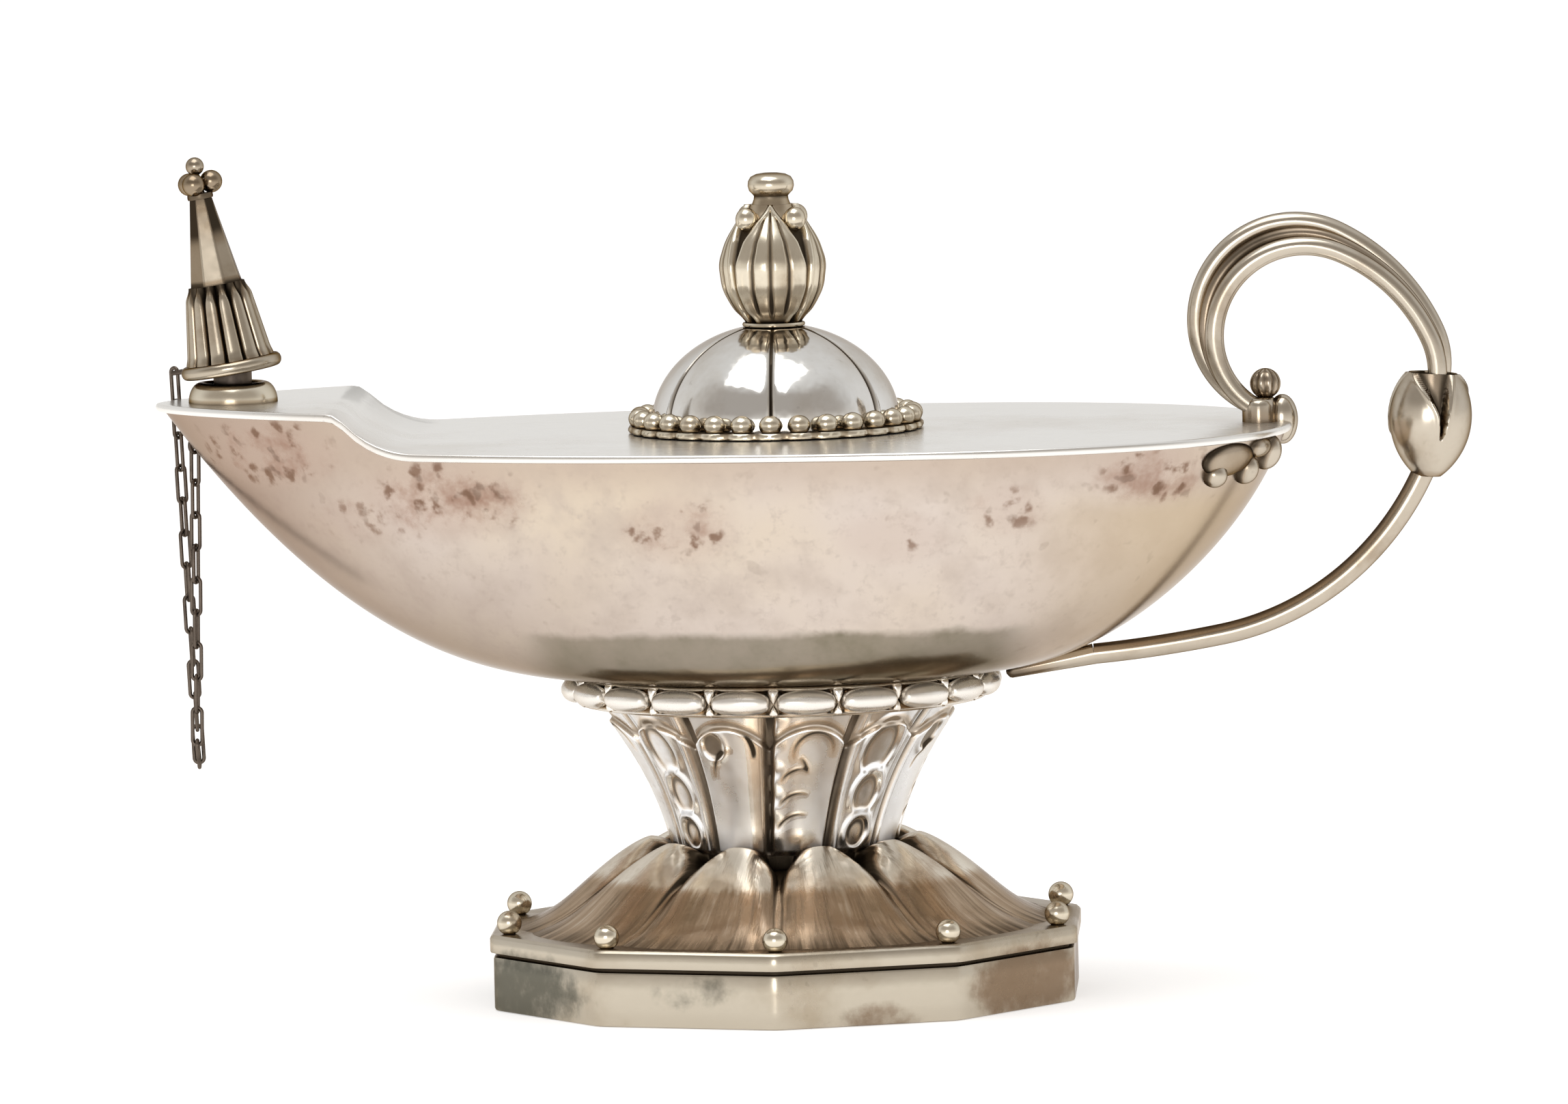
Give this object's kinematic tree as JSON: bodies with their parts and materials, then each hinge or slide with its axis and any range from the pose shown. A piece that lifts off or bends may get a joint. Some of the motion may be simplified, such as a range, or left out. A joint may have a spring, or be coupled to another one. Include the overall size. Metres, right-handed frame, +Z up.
{
  "type": "oil lamp",
  "caption": "Boat-shaped table oil lamp on a faceted foot, with a domed lift-off lid, a wire loop handle and a cone snuffer on a chain that covers the wick at the spout.",
  "frame": {"origin": "middle of the foot's underside, on the table", "axes": "+Z up, +X to the handle and -X to the spout, -Y to the near side that the picture shows"},
  "size_m": [0.1503, 0.0728, 0.0974],
  "materials": {
    "silver_satin": "satin silver with a warm tarnish",
    "silver_deck": "pale satin silver",
    "silver_foot": "worked silver, dark in the hollows",
    "silver_polished": "polished silver",
    "silver_trim": "polished silver with a warm tarnish",
    "silver_inner": "plain silver, out of sight",
    "silver_oxidised": "oxidised silver wire",
    "wick_cotton": "plaited cotton"
  },
  "bodies": {
    "lamp": {"bowl": "silver_satin", "deck": "silver_deck", "foot_band": "silver_foot", "foot_plate": "silver_foot", "foot_dome": "silver_foot", "corner_beads": "silver_foot", "stem": "silver_foot", "stem_ring": "silver_foot", "stern_socket": "silver_trim", "stern_knob": "silver_trim", "stern_drop": "silver_trim", "stern_scroll_near": "silver_trim", "stern_scroll_far": "silver_trim", "handle_wire_near": "silver_trim", "handle_wire_far": "silver_trim", "handle_bud": "silver_trim", "handle_lower_wire": "silver_trim", "handle_tail": "silver_trim", "wick_collar": "silver_trim", "filler_neck": "silver_inner", "wick_tube": "silver_inner", "chain_spout_strand": "silver_oxidised", "spout_eye": "silver_oxidised", "wick": "wick_cotton"},
    "lid": {"lid_rim": "silver_trim", "lid_beads": "silver_trim", "lid_dome": "silver_polished", "lid_plug": "silver_inner", "finial_washer": "silver_trim", "finial_bud": "silver_trim", "finial_berries": "silver_trim", "finial_button": "silver_trim", "finial_stud": "silver_inner", "finial_nut": "silver_inner"},
    "snuffer": {"snuffer_flange": "silver_trim", "snuffer_skirt": "silver_trim", "snuffer_spire": "silver_trim", "snuffer_beads": "silver_trim", "snuffer_eye": "silver_oxidised", "chain_cap_strand": "silver_oxidised"}
  },
  "joints": [
    {"name": "lid_lift", "type": "slide", "parent": "lamp", "child": "lid", "axis": [0, 0, 1], "range_m": [0, 0.025]},
    {"name": "snuffer_lift", "type": "slide", "parent": "lamp", "child": "snuffer", "axis": [0, 0, 1], "range_m": [0, 0.012], "deforming": ["chain_cap_strand"]}
  ]
}
